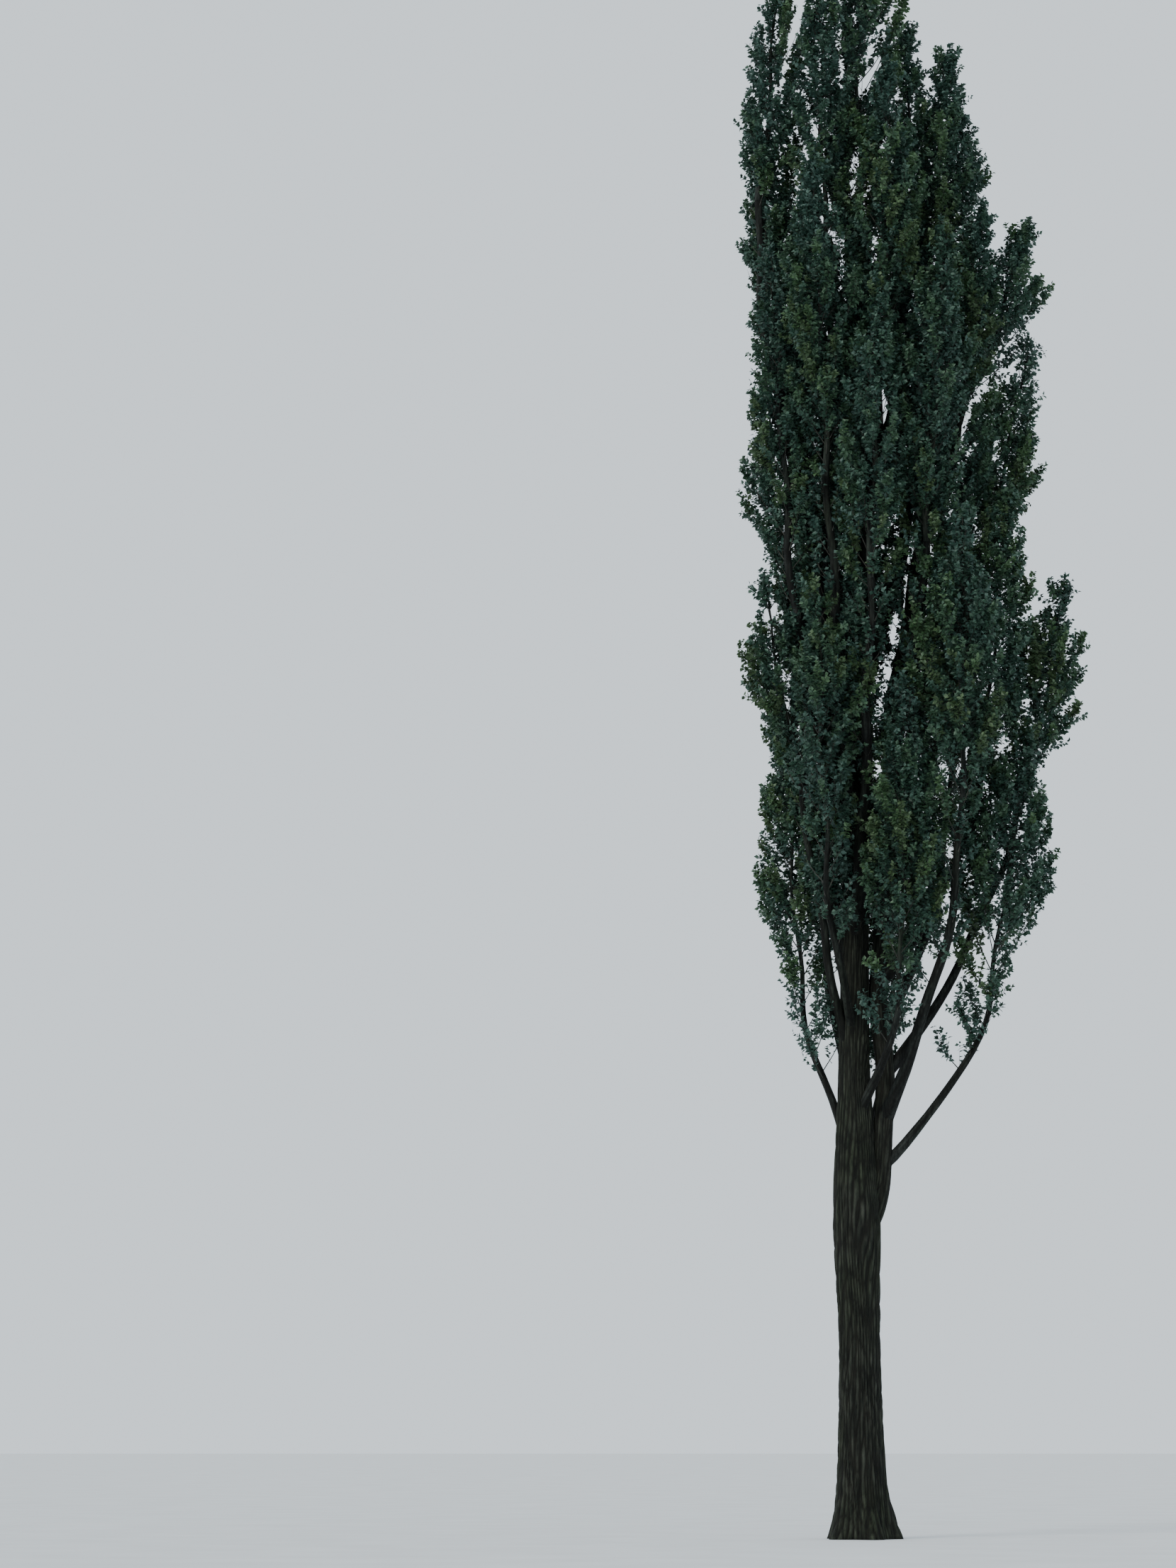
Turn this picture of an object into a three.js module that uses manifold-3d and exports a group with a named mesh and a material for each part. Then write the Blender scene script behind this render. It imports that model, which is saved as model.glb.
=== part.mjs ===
// A mature Lombardy poplar in full leaf: one straight trunk that forks into steep boughs, each of which
// carries a tall flame-shaped mass of foliage.
// Millimetres, +Z up. The origin is the middle of the flat cut under the trunk, at ground level.
// +X is the side of the crown that bulges furthest, -Y is the side that faces the viewer.
import * as THREE from 'three';
import { mergeVertices } from 'three/addons/utils/BufferGeometryUtils.js';
import Module from 'manifold-3d';

const wasm = await Module();
wasm.setup();

// Driving dimensions of the trunk
const TRUNK_TOP = 22900;
const TRUNK_RADIUS = 385;
const TRUNK_TIP_RADIUS = 62;
const TRUNK_TAPER = 1.15;
const TRUNK_LEAN = 0.0095;
const TRUNK_SWAY = 90;
const SWAY_HEIGHT = 30000;
const ROOT_FLARE = 200;
const FLARE_HEIGHT = 650;
const BUTTRESSES = 5;
const BUTTRESS_DEPTH = 0.16;
const FORK_SWELL = 100;
const FORK_HEIGHT = 5400;
const FORK_SPREAD = 1500;
const TRUNK_SIDES = 14;
const TRUNK_RINGS = 16;
const RINGS_LOW_DOWN = 1.7;

// Driving dimensions of the boughs
const BOUGH_RADIUS = 0.0105;
const BOUGH_LEAST_RADIUS = 50;
const BOUGH_TAPER = 0.5;
const BOUGH_START_SLOPE = 1.6;
const TIP_SLOPE = 0.5;
const KICK_HEIGHT = 850;
const COLLAR = 0.35;
const COLLAR_LENGTH = 420;
const WAVE = 45;
const WAVE_HEIGHT = 2600;
const BOUGH_SIDES = 5;
const SECOND_STEM_SIDES = 9;
const BOUGH_RING = 1300;

// Driving dimensions of the foliage
const STEM_TIP_RADIUS = 9;
const LEADER_THICKNESS = 0.8;
const FLAME_LOWNESS = 0.75;
const FLAME_FULLNESS = 0.6;
const CORE_SIDES = 6;
const CORE_RING = 750;
const TUFT_SHARE = 0.7;
const HOLLOW_SHARE = 0.5;
const TIP_SHARE = 0.1;
const TWIG_SPACING = 270;
const TWIG_RADIUS = 28;
const TWIG_RISE = 1.9;
const TWIG_STEP = 0.08;
const SHORTEST_TWIG = 0.35;
const FIRST_TWIG = 0.04;
const LAST_TWIG = 0.9;
const LEAF_LENGTH = 660;
const LEAF_WIDTH = 450;
const LEAF_THICKNESS = 16;
const LEAF_WIDEST = 0.42;
const LEAF_ROOT = 0.92;
const LEAF_TURN = 2.6;
const GOLDEN_ANGLE = THREE.MathUtils.degToRad(137.5);

// Clearances
const SEAT_GAP = 0.3;
const SEAT_DEPTH = 20;
const SPACE_MARGIN = 0.09;
const LIMB_MARGIN = 70;
const BOUGH_ROOM = 1.15;
const DRAW_IN = 0.92;
const SMALLEST_EDGE = 0.1;

// The limbs that fork from the trunk. Each has the heights where it leaves its stem (fork), where its
// foliage begins (foot) and where it ends (top), its place in plan at the foot and at the tip, and the
// girth radius of its mass of foliage. A kick throws its bough sideways just above the fork. The leader
// forks nowhere: it stands on the tip of the trunk. The bough of right_high is the second stem.
const TRUNK_LIMBS = {
  leader: { fork: 22900, foot: 22900, top: 28800, at: [305, 64], tip: [270, 0], girth: 620 },
  crown_left: { fork: 17600, foot: 22200, top: 27600, at: [-380, -260], tip: [-420, -420], girth: 560 },
  crown_right: { fork: 17000, foot: 22500, top: 26600, at: [1100, 180], tip: [1210, 300], girth: 620 },
  crown_front: { fork: 15700, foot: 20300, top: 25400, at: [560, -820], tip: [720, -980], girth: 700 },
  crown_back: { fork: 15900, foot: 20700, top: 25900, at: [180, 880], tip: [150, 1000], girth: 680 },
  right_top: { fork: 14200, foot: 21000, top: 26200, at: [1620, 560], tip: [1960, 250], girth: 770 },
  right_high: { fork: 5000, kick: 700, foot: 19500, top: 22800, at: [2070, 350], tip: [3220, 50], girth: 850 },
  left_leader: { fork: 15100, foot: 23300, top: 27400, at: [-1490, 120], tip: [-1150, 60], girth: 470 },
  left_high: { fork: 12900, foot: 20000, top: 25000, at: [-920, 640], tip: [-1520, 540], girth: 520 },
  left_upper: { fork: 10700, foot: 17500, top: 22100, at: [-1120, -600], tip: [-1330, -620], girth: 570 },
  left_middle: { fork: 9300, foot: 15900, top: 19900, at: [-1080, 0], tip: [-1450, -120], girth: 570 },
  left_low: { fork: 7700, foot: 13000, top: 16300, at: [-980, -430], tip: [-1520, -400], girth: 530 },
  left_lowest: { fork: 6000, kick: -320, foot: 9200, top: 14100, at: [-900, 450], tip: [-1130, 560], girth: 620 },
  front_left_high: { fork: 11900, foot: 17900, top: 23800, at: [-430, -1050], tip: [-600, -1150], girth: 720 },
  front_middle: { fork: 9900, foot: 16000, top: 21200, at: [250, -1480], tip: [420, -1650], girth: 700 },
  front_left_low: { fork: 8300, foot: 11500, top: 15900, at: [-560, -1220], tip: [-640, -1380], girth: 620 },
  front_low: { fork: 6900, foot: 9300, top: 14300, at: [700, -1050], tip: [800, -1450], girth: 700 },
  back_left_high: { fork: 11400, foot: 16900, top: 22300, at: [-480, 1150], tip: [-600, 1250], girth: 720 },
  back_middle: { fork: 9100, foot: 14100, top: 19800, at: [50, 1500], tip: [150, 1700], girth: 640 },
  back_left_low: { fork: 7200, foot: 11500, top: 17000, at: [-560, 1250], tip: [-860, 1350], girth: 680 },
  back_low: { fork: 6150, foot: 8900, top: 14200, at: [700, 1150], tip: [750, 1500], girth: 740 },
};

// The limbs that fork from the second stem
const SECOND_STEM_LIMBS = {
  right_low: { fork: 6100, foot: 9200, top: 13800, at: [2300, -380], tip: [2980, -450], girth: 740 },
  front_right_middle: { fork: 6900, foot: 11800, top: 17300, at: [1700, -1420], tip: [1850, -1560], girth: 760 },
  right_wide: { fork: 7700, foot: 12600, top: 16350, at: [2950, 400], tip: [3780, 250], girth: 660 },
  back_right_middle: { fork: 8400, foot: 12200, top: 17800, at: [1750, 1300], tip: [2050, 1450], girth: 760 },
  right_middle: { fork: 9200, foot: 12700, top: 17900, at: [2130, -560], tip: [2680, -600], girth: 700 },
  front_right_high: { fork: 10100, foot: 16700, top: 22300, at: [1200, -1200], tip: [1600, -1350], girth: 740 },
  right_shoulder: { fork: 11000, foot: 16300, top: 20750, at: [2210, 400], tip: [3230, 250], girth: 630 },
  back_right_high: { fork: 11900, foot: 18000, top: 23700, at: [1350, 1150], tip: [1550, 1300], girth: 740 },
  right_inner: { fork: 13600, foot: 16000, top: 23000, at: [1430, -320], tip: [2430, -420], girth: 710 },
};

const LIMBS = [];
for (const [group, onSecond] of [[TRUNK_LIMBS, false], [SECOND_STEM_LIMBS, true]]) {
  for (const [name, sizes] of Object.entries(group)) {
    const index = LIMBS.length;
    LIMBS.push({ name, onSecond, ...sizes, seed: 101 + 17 * index, phase: index * GOLDEN_ANGLE });
  }
}
const second = LIMBS.find((limb) => limb.name === 'right_high');

// A small generator of repeatable random numbers between 0 and 1
function seeded(seed) {
  let state = seed >>> 0;
  return () => {
    state = (Math.imul(state, 1664525) + 1013904223) >>> 0;
    return state / 4294967296;
  };
}

// A number between low and high, from a share between 0 and 1
const between = THREE.MathUtils.lerp;

// The middle line of the trunk at height z
function trunkAt(z) {
  const turn = (2 * Math.PI * z) / SWAY_HEIGHT;
  const x = TRUNK_LEAN * z - TRUNK_SWAY * Math.sin(turn);
  return new THREE.Vector3(x, 0.5 * TRUNK_SWAY * (1 - Math.cos(turn)), z);
}

function trunkRadius(z) {
  const rest = Math.max(0, 1 - z / TRUNK_TOP);
  const taper = TRUNK_TIP_RADIUS + (TRUNK_RADIUS - TRUNK_TIP_RADIUS) * rest ** TRUNK_TAPER;
  const flare = ROOT_FLARE * Math.exp(-z / FLARE_HEIGHT);
  const swell = FORK_SWELL * Math.exp(-(((z - FORK_HEIGHT) / FORK_SPREAD) ** 2));
  return taper + flare + swell;
}

// A smooth rise from a to b with the given slopes at its ends, u running from 0 to 1 over the span
function hermite(a, b, slopeA, slopeB, u, span) {
  const [u2, u3] = [u * u, u * u * u];
  const ends = a * (2 * u3 - 3 * u2 + 1) + b * (3 * u2 - 2 * u3);
  return ends + span * (slopeA * (u3 - 2 * u2 + u) + slopeB * (u3 - u2));
}

// The middle line of a limb at height z, from its fork to the tip of its foliage
function limbAt(limb, z) {
  const root = limb.onSecond ? limbAt(second, limb.fork) : trunkAt(limb.fork);
  const from = [root.x, root.y];
  const bough = limb.foot - limb.fork;
  const foliage = limb.top - limb.foot;
  const place = [0, 1].map((i) => {
    const slope = (limb.tip[i] - limb.at[i]) / foliage;
    if (z < limb.foot && !isLeader(limb)) {
      const start = limb.kick ? 0 : (BOUGH_START_SLOPE * (limb.at[i] - from[i])) / bough;
      return hermite(from[i], limb.at[i], start, slope, (z - limb.fork) / bough, bough);
    }
    return hermite(limb.at[i], limb.tip[i], slope, slope * TIP_SLOPE, (z - limb.foot) / foliage, foliage);
  });
  const grown = Math.min(1, (z - limb.fork) / WAVE_HEIGHT);
  const wave = WAVE * grown * Math.sin((2 * Math.PI * z) / WAVE_HEIGHT + limb.phase);
  const still = Math.max(0, (limb.foot - z) / bough);
  const kick = limb.kick ? limb.kick * (1 - Math.exp((limb.fork - z) / KICK_HEIGHT)) * still ** 2 : 0;
  return new THREE.Vector3(place[0] + wave + kick, place[1] + wave * Math.sin(limb.phase), z);
}

function isLeader(limb) {
  return limb.fork === limb.foot;
}

function boughRadius(limb, z) {
  const along = (z - limb.fork) / (limb.foot - limb.fork);
  const thick = Math.max(BOUGH_LEAST_RADIUS, BOUGH_RADIUS * (limb.top - limb.fork));
  const collar = 1 + COLLAR * Math.exp(-(z - limb.fork) / COLLAR_LENGTH);
  return thick * (1 - (1 - BOUGH_TAPER) * along) * collar;
}

function stemRadius(limb, z) {
  const along = (z - limb.foot) / (limb.top - limb.foot);
  const thick = isLeader(limb) ? TRUNK_TIP_RADIUS * LEADER_THICKNESS : boughRadius(limb, limb.foot);
  return STEM_TIP_RADIUS + (thick - STEM_TIP_RADIUS) * (1 - along);
}

// The radius that a mass of foliage reaches at height z: a flame, widest low down and pointed above
function reachAt(limb, z) {
  const along = THREE.MathUtils.clamp((z - limb.foot) / (limb.top - limb.foot), 0, 1);
  return limb.girth * Math.sin(Math.PI * along ** FLAME_LOWNESS) ** FLAME_FULLNESS;
}

function levelDistance(a, b) {
  return Math.hypot(a.x - b.x, a.y - b.y);
}

// Whether a point lies in the limb's own space: nearer to its stem than to any other, each measured
// against its own reach, and clear of the trunk and of every bough
function isFree(point, own) {
  const z = point.z;
  const trunkRoom = trunkRadius(z) + LIMB_MARGIN;
  if (z < TRUNK_TOP + LIMB_MARGIN && levelDistance(point, trunkAt(z)) < trunkRoom) return false;
  const pull = levelDistance(point, limbAt(own, Math.min(z, own.top))) / Math.max(1, reachAt(own, z));
  for (const limb of LIMBS) {
    if (!isLeader(limb) && z > limb.fork && z < limb.foot + LIMB_MARGIN) {
      const level = Math.min(z, limb.foot);
      const room = BOUGH_ROOM * boughRadius(limb, level) + LIMB_MARGIN;
      if (levelDistance(point, limbAt(limb, level)) < room) return false;
    }
    if (limb !== own && z > limb.foot - LIMB_MARGIN && z < limb.top + LIMB_MARGIN) {
      const level = THREE.MathUtils.clamp(z, limb.foot, limb.top);
      const apart = levelDistance(point, limbAt(limb, level));
      if (apart < stemRadius(limb, level) + LIMB_MARGIN) return false;
      if (pull + SPACE_MARGIN > apart / Math.max(1, reachAt(limb, level))) return false;
    }
  }
  return true;
}

// The solid of a closed three.js geometry
function solidOf(geometry) {
  const bare = new THREE.BufferGeometry();
  bare.setAttribute('position', geometry.getAttribute('position'));
  bare.setIndex(geometry.getIndex());
  const merged = mergeVertices(bare, 1e-3);
  return new wasm.Manifold(
    new wasm.Mesh({
      numProp: 3,
      vertProperties: merged.getAttribute('position').array,
      triVerts: new Uint32Array(merged.getIndex().array),
    }),
  );
}

function geometryOf(solid) {
  const { vertProperties, triVerts } = solid.getMesh();
  const geometry = new THREE.BufferGeometry();
  geometry.setAttribute('position', new THREE.BufferAttribute(vertProperties, 3));
  geometry.setIndex(new THREE.BufferAttribute(triVerts, 1));
  return geometry;
}

function movePoints(geometry, move) {
  const position = geometry.getAttribute('position');
  const point = new THREE.Vector3();
  for (let i = 0; i < position.count; i++) {
    const moved = move(point.fromBufferAttribute(position, i));
    position.setXYZ(i, moved.x, moved.y, moved.z);
  }
  return geometry;
}

// Two directions square to a line at height z, and to each other
function ringFrame(line, z, from, to) {
  const along = line(Math.min(to, z + 5)).sub(line(Math.max(from, z - 5))).normalize();
  const across = new THREE.Vector3(1, 0, 0).addScaledVector(along, -along.x).normalize();
  return { across, other: new THREE.Vector3().crossVectors(across, along) };
}

// A tapering limb with round rings square to its middle line. The line and the radius are functions of
// the height.
function limbSolid(line, radius, from, to, sides, steps) {
  const rod = new THREE.CylinderGeometry(radius(to) > 0 ? 1 : 0, 1, 1, sides, steps);
  return solidOf(
    movePoints(rod, (p) => {
      const z = from + (to - from) * (p.y + 0.5);
      const { across, other } = ringFrame(line, z, from, to);
      return line(z).addScaledVector(across, p.x * radius(z)).addScaledVector(other, p.z * radius(z));
    }),
  );
}

// The trunk: level rings, closer together near the ground, with buttresses in the root flare
function trunkSolid(grow = 0) {
  const rod = new THREE.CylinderGeometry(1, 1, 1, TRUNK_SIDES, TRUNK_RINGS);
  return solidOf(
    movePoints(rod, (p) => {
      const z = (TRUNK_TOP + grow) * (p.y + 0.5) ** RINGS_LOW_DOWN;
      const turn = Math.atan2(p.z, p.x);
      const ridge = BUTTRESS_DEPTH * Math.exp(-z / FLARE_HEIGHT) * Math.cos(BUTTRESSES * turn);
      const radius = (trunkRadius(z) * (1 + ridge) + grow) * Math.hypot(p.x, p.z);
      const middle = trunkAt(z);
      return new THREE.Vector3(middle.x + radius * Math.cos(turn), middle.y - radius * Math.sin(turn), z);
    }),
  );
}

const trunk = trunkSolid();
const trunkSeat = trunkSolid(SEAT_GAP);

// The largest body of a solid, for when a cut leaves scraps
function largestBody(solid) {
  const bodies = solidOf(geometryOf(solid.simplify(SMALLEST_EDGE))).decompose();
  return bodies.sort((a, b) => b.volume() - a.volume())[0];
}

function boughRod(limb, grow) {
  return limbSolid(
    (z) => limbAt(limb, z),
    (z) => boughRadius(limb, z) + grow,
    limb.fork,
    limb.foot,
    limb === second ? SECOND_STEM_SIDES : BOUGH_SIDES,
    Math.max(4, Math.round((limb.foot - limb.fork) / BOUGH_RING)),
  );
}

const secondSeat = boughRod(second, SEAT_GAP);

// A bough starts inside its stem and is cut to sit against it
function boughSolid(limb) {
  const rod = boughRod(limb, 0).subtract(trunkSeat);
  return largestBody(limb.onSecond ? rod.subtract(secondSeat) : rod);
}

// The stem of a mass, thickened above its foot into a dense heart: tufts that stand out and up in turn
// with hollows, drawn in wherever they would leave the mass's own space
function coreSolid(limb) {
  const foot = isLeader(limb) ? limb.foot - SEAT_DEPTH : limb.foot + SEAT_GAP;
  const top = limb.top - TIP_SHARE * limb.girth;
  const rings = Math.round((top - foot) / CORE_RING);
  const line = (z) => limbAt(limb, z);
  const reach = (z, side, ring) => {
    if (ring === 0) return stemRadius(limb, z);
    const isTuft = (side + ring) % 2 === 0;
    const chance = seeded(limb.seed * 97 + (side % CORE_SIDES) * 13 + ring * 7)();
    return (isTuft ? TUFT_SHARE : HOLLOW_SHARE) * between(0.85, 1.15, chance) * reachAt(limb, z);
  };
  const rod = new THREE.CylinderGeometry(1, 1, 1, CORE_SIDES, rings);
  return solidOf(
    movePoints(rod, (p) => {
      const ring = Math.round(rings * (p.y + 0.5));
      const side = Math.round((CORE_SIDES * Math.atan2(p.x, p.z)) / (2 * Math.PI)) + CORE_SIDES;
      const flat = Math.hypot(p.x, p.z);
      const z = foot + ((top - foot) * ring) / rings;
      if (flat < 1e-6) return line(z);
      const { across, other } = ringFrame(line, z, foot, top);
      const heading = across.multiplyScalar(p.x / flat).addScaledVector(other, p.z / flat);
      const least = stemRadius(limb, z);
      let radius = Math.max(least, reach(z, side, ring));
      while (radius > least && !isFree(line(z).addScaledVector(heading, radius), limb)) radius *= DRAW_IN;
      return line(z).addScaledVector(heading, Math.max(least, radius));
    }),
  );
}

// A leaf that stands for a spray: a flat blade of eight faces, widest below the middle. Its place holds
// the root, the direction from root to tip, the side that faces outwards, and the size.
function leafFrame({ along, facing }) {
  const across = new THREE.Vector3().crossVectors(along, facing).normalize();
  return { across, normal: new THREE.Vector3().crossVectors(across, along) };
}

function leafSolid(leaf) {
  const { across, normal } = leafFrame(leaf);
  return solidOf(
    movePoints(new THREE.OctahedronGeometry(1), (p) => {
      const share = p.y > 0.5 ? 1 : p.y < -0.5 ? 0 : LEAF_WIDEST;
      return leaf.root
        .clone()
        .addScaledVector(leaf.along, share * leaf.size * LEAF_LENGTH)
        .addScaledVector(across, p.x * 0.5 * leaf.size * LEAF_WIDTH)
        .addScaledVector(normal, p.z * 0.5 * LEAF_THICKNESS);
    }),
  );
}

// A leaf grows only where all of its blade stays in its mass's own space
function leafIsFree(leaf, limb) {
  const { across } = leafFrame(leaf);
  for (const share of [0.25, LEAF_WIDEST, 0.6, 0.8, 1]) {
    const wide = share < LEAF_WIDEST ? share / LEAF_WIDEST : (1 - share) / (1 - LEAF_WIDEST);
    for (const edge of [-1, -0.5, 0, 0.5, 1]) {
      const point = leaf.root
        .clone()
        .addScaledVector(leaf.along, share * leaf.size * LEAF_LENGTH)
        .addScaledVector(across, edge * wide * 0.5 * leaf.size * LEAF_WIDTH);
      if (!isFree(point, limb)) return false;
    }
  }
  return true;
}

// The twigs of a mass leave its stem at the golden angle and rise to its reach. A twig that would leave
// the mass's own space is shortened, and left out when little of it would stand clear of the core.
function twigsOf(limb, random) {
  const twigs = [];
  const length = limb.top - limb.foot;
  const count = Math.round(length / TWIG_SPACING);
  for (let k = 0; k < count; k++) {
    const start = limb.foot + length * between(FIRST_TWIG, LAST_TWIG, k / count);
    const turn = k * GOLDEN_ANGLE + limb.phase + between(0, 0.5, random());
    const heading = new THREE.Vector3(Math.cos(turn), Math.sin(turn), 0);
    const rise = TWIG_RISE * between(0.85, 1.15, random());
    const out = reachAt(limb, start + 0.8 * rise * limb.girth) * between(0.6, 0.78, random());
    const root = limbAt(limb, start);
    const end = limbAt(limb, Math.min(limb.top - 2 * TWIG_RADIUS, start + rise * out));
    const reach = end.addScaledVector(heading, out).sub(root);
    const tipAt = (share) => root.clone().addScaledVector(reach, share);
    let share = 1;
    while (share > SHORTEST_TWIG && !isFree(tipAt(share), limb)) share -= TWIG_STEP;
    if (share > SHORTEST_TWIG) twigs.push({ root, heading, tip: tipAt(share) });
  }
  return twigs;
}

function twigSolid({ root, tip }) {
  const share = (z) => (z - root.z) / (tip.z - root.z);
  const line = (z) => root.clone().lerp(tip, share(z));
  return limbSolid(line, (z) => TWIG_RADIUS * (1 - share(z)), root.z, tip.z, 3, 1);
}

// The leaf at the end of a twig carries its line on, and turns a little to one side
function leafOf({ root, tip, heading }, random) {
  const along = tip.clone().sub(root).normalize();
  const facing = heading.clone().applyAxisAngle(along, LEAF_TURN * between(-0.5, 0.5, random()));
  return { root: root.clone().lerp(tip, LEAF_ROOT), along, facing, size: between(0.75, 1.15, random()) };
}

// A mass of foliage: its core, and the twigs with their leaves, fused into one body
function massSolid(limb) {
  const random = seeded(limb.seed);
  const parts = [coreSolid(limb)];
  for (const twig of twigsOf(limb, random)) {
    const leaf = leafOf(twig, random);
    if (leafIsFree(leaf, limb)) parts.push(twigSolid(twig), leafSolid(leaf));
  }
  return largestBody(wasm.Manifold.union(parts).subtract(trunkSeat));
}

const bark = { color: 0x4a4438, roughness: 0.95, metalness: 0 };
const leaves = { color: 0x2c3d22, roughness: 0.7, metalness: 0 };

const tree = new THREE.Group();

function addNode(name, solid, look) {
  const geometry = geometryOf(solid);
  geometry.computeVertexNormals();
  const mesh = new THREE.Mesh(geometry, new THREE.MeshStandardMaterial(look));
  mesh.name = name;
  tree.add(mesh);
}

addNode('trunk', trunk, bark);
for (const limb of LIMBS) {
  if (limb === second) addNode('second_stem', boughSolid(limb), bark);
  else if (!isLeader(limb)) addNode(limb.name + '_bough', boughSolid(limb), bark);
  addNode(limb.name + '_foliage', massSolid(limb), leaves);
}

export default tree;
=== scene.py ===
# A mature Lombardy poplar in full summer leaf, grown round the solids of the part. The trunk, the second
# stem and the boughs get bark with real relief. Each mass of foliage grows on from its bough by the
# rule of the solids, carried on to finer twigs and to single leaves.
# Metres, +Z up. The origin is the middle of the flat cut under the trunk.
import math

import bpy
import numpy as np
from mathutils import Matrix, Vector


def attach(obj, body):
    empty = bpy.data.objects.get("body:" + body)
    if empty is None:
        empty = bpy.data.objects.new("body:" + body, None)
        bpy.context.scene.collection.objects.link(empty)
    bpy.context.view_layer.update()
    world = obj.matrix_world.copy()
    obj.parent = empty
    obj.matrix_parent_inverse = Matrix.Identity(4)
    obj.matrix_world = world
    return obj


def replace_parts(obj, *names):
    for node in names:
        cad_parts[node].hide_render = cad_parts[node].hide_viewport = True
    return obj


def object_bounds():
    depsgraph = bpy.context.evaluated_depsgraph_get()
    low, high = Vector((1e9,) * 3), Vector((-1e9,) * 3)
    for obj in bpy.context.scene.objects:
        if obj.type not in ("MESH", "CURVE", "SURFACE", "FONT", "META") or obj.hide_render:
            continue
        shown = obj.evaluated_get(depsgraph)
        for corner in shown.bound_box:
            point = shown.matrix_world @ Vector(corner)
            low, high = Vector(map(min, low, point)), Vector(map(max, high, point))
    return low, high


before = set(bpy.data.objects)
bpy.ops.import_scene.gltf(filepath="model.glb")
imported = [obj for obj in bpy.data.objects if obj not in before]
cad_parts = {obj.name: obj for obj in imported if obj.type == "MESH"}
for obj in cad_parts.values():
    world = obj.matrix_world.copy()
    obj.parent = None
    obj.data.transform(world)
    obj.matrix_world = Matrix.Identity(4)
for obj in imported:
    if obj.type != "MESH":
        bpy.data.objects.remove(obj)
cad_low, cad_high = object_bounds()

# The trunk, as in the solids
TRUNK_TOP = 22.9
TRUNK_RADIUS = 0.385
TRUNK_TIP_RADIUS = 0.062
TRUNK_TAPER = 1.15
TRUNK_LEAN = 0.0095
TRUNK_SWAY = 0.09
SWAY_HEIGHT = 30.0
ROOT_FLARE = 0.2
FLARE_HEIGHT = 0.65
BUTTRESSES = 5
BUTTRESS_DEPTH = 0.16
FORK_SWELL = 0.1
FORK_HEIGHT = 5.4
FORK_SPREAD = 1.5

# The boughs, as in the solids
BOUGH_RADIUS = 0.0105
BOUGH_LEAST_RADIUS = 0.05
BOUGH_TAPER = 0.5
BOUGH_START_SLOPE = 1.6
TIP_SLOPE = 0.5
KICK_HEIGHT = 0.85
COLLAR = 0.35
COLLAR_LENGTH = 0.42
WAVE = 0.045
WAVE_HEIGHT = 2.6

# The foliage, as in the solids
STEM_TIP_RADIUS = 0.009
LEADER_THICKNESS = 0.8
FLAME_LOWNESS = 0.75
FLAME_FULLNESS = 0.6
TWIG_RISE = 1.9
GOLDEN_ANGLE = math.radians(137.5)
FIRST_SEED = 101
SEED_STEP = 17

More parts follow.
